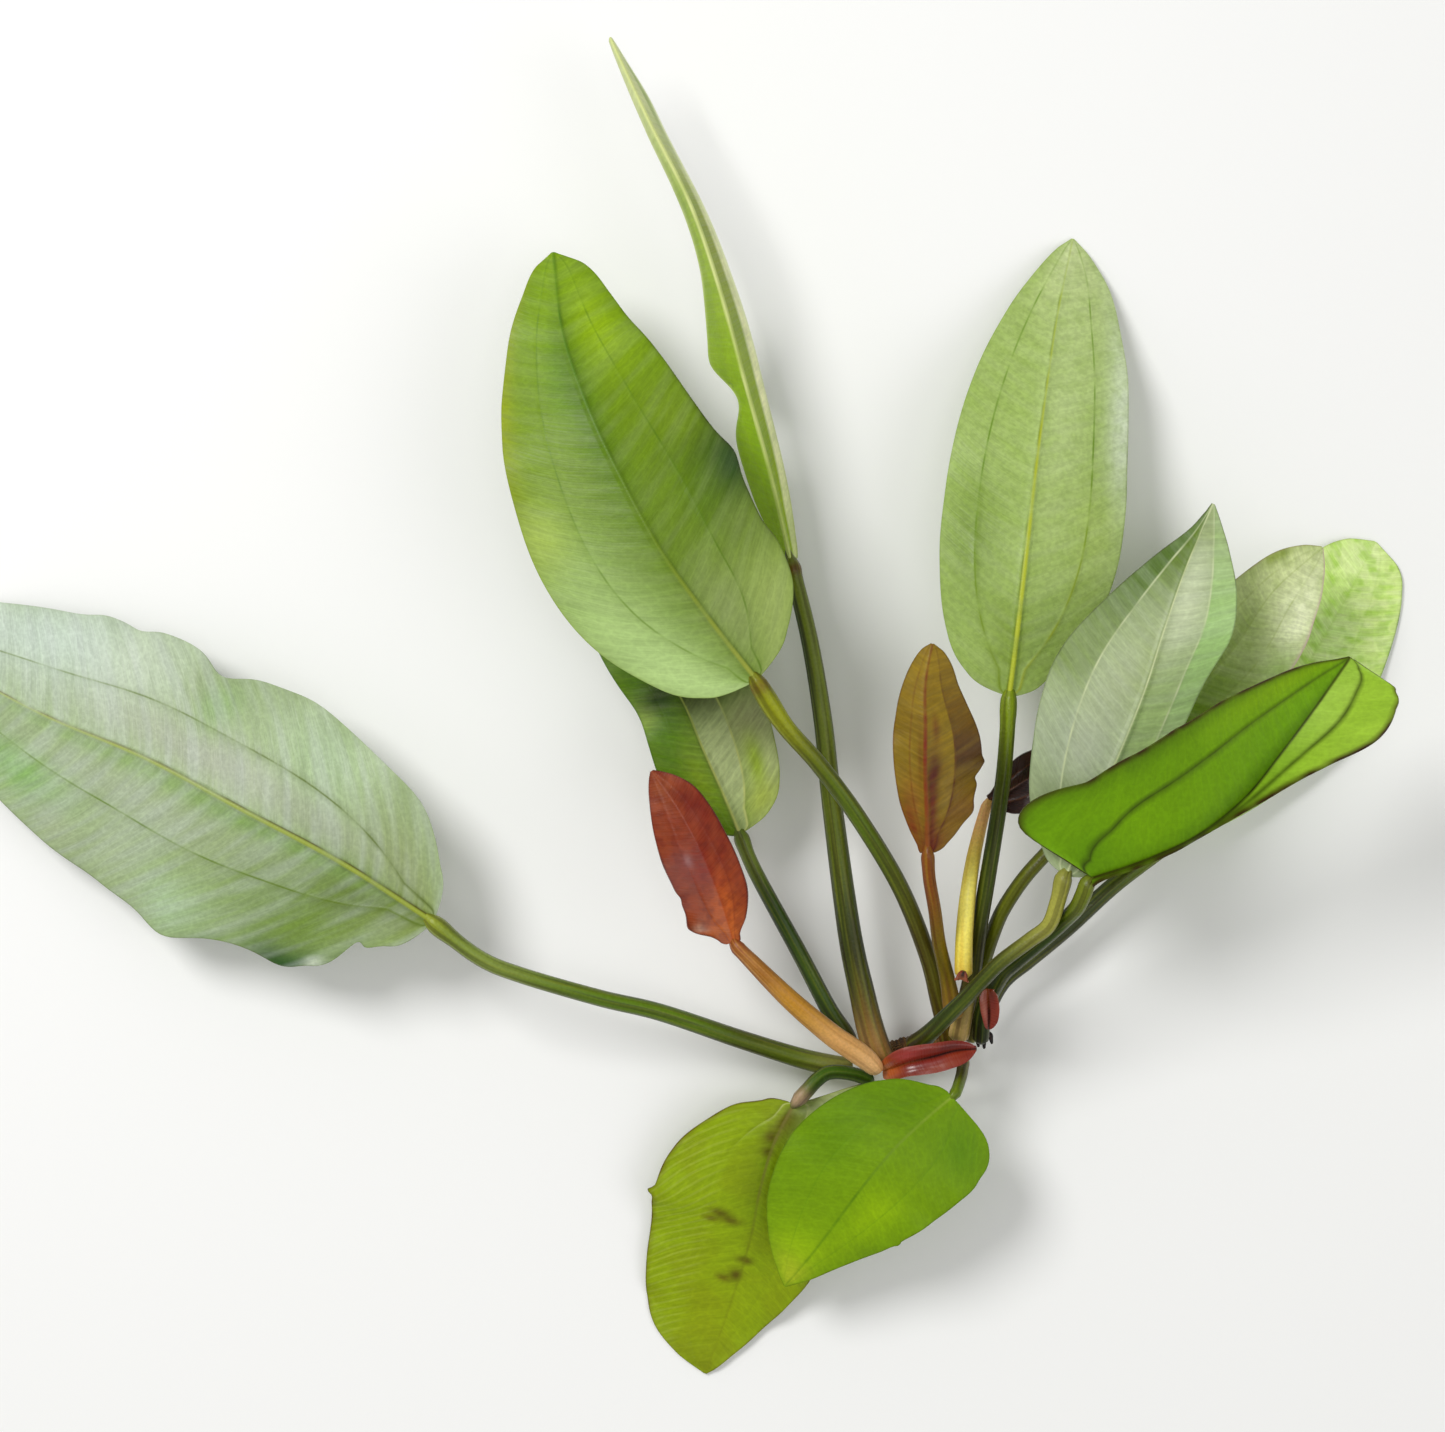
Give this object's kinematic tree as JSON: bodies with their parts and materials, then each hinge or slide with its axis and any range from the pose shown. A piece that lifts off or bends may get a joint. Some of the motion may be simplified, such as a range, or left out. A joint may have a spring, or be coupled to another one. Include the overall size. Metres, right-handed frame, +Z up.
{
  "type": "amazon sword plant",
  "caption": "Uprooted rosette of broad sword-shaped leaves on long stalks, spread from one short thick stem and lying on a flat surface.",
  "frame": {"origin": "middle of the plant's outline, on the surface it lies on", "axes": "+X along the plant's longest way, towards the lime and front right leaves; +Y towards the tip of the tall leaf; +Z up from the surface"},
  "size_m": [0.3566, 0.3022, 0.0643],
  "materials": {
    "leaf_silvery": "satin",
    "leaf_pale": "satin",
    "leaf_green": "satin",
    "leaf_dark": "satin",
    "leaf_rust": "satin",
    "leaf_olive": "satin",
    "leaf_lime": "satin",
    "leaf_red": "satin",
    "stalk_green": "satin",
    "stalk_tan": "satin",
    "stalk_olive": "satin",
    "stalk_yellow": "satin",
    "stem_brown": "matte",
    "root_brown": "matte"
  },
  "bodies": {
    "root": {"blade_far_right": "leaf_olive", "blade_front_right": "leaf_green", "blade_left": "leaf_silvery", "blade_lime": "leaf_lime", "blade_lower_left": "leaf_green", "blade_lower_right": "leaf_green", "blade_olive": "leaf_olive", "blade_pointed": "leaf_silvery", "blade_rust": "leaf_rust", "blade_tall": "leaf_green", "blade_tucked": "leaf_dark", "blade_upper_left": "leaf_pale", "blade_upper_right": "leaf_pale", "blade_young": "leaf_rust", "root_stub_lower": "root_brown", "root_stub_middle": "root_brown", "root_stub_upper": "root_brown", "stalk_far_right": "stalk_green", "stalk_front_right": "stalk_green", "stalk_left": "stalk_green", "stalk_lime": "stalk_green", "stalk_lower_left": "stalk_green", "stalk_lower_right": "stalk_green", "stalk_olive": "stalk_olive", "stalk_pointed": "stalk_green", "stalk_rust": "stalk_tan", "stalk_tall": "stalk_green", "stalk_tucked": "stalk_green", "stalk_upper_left": "stalk_green", "stalk_upper_right": "stalk_green", "stalk_young": "stalk_yellow", "stem": "stem_brown", "young_leaf_front": "leaf_red", "young_leaf_side": "leaf_red", "young_leaf_tip": "leaf_red"}
  },
  "joints": []
}
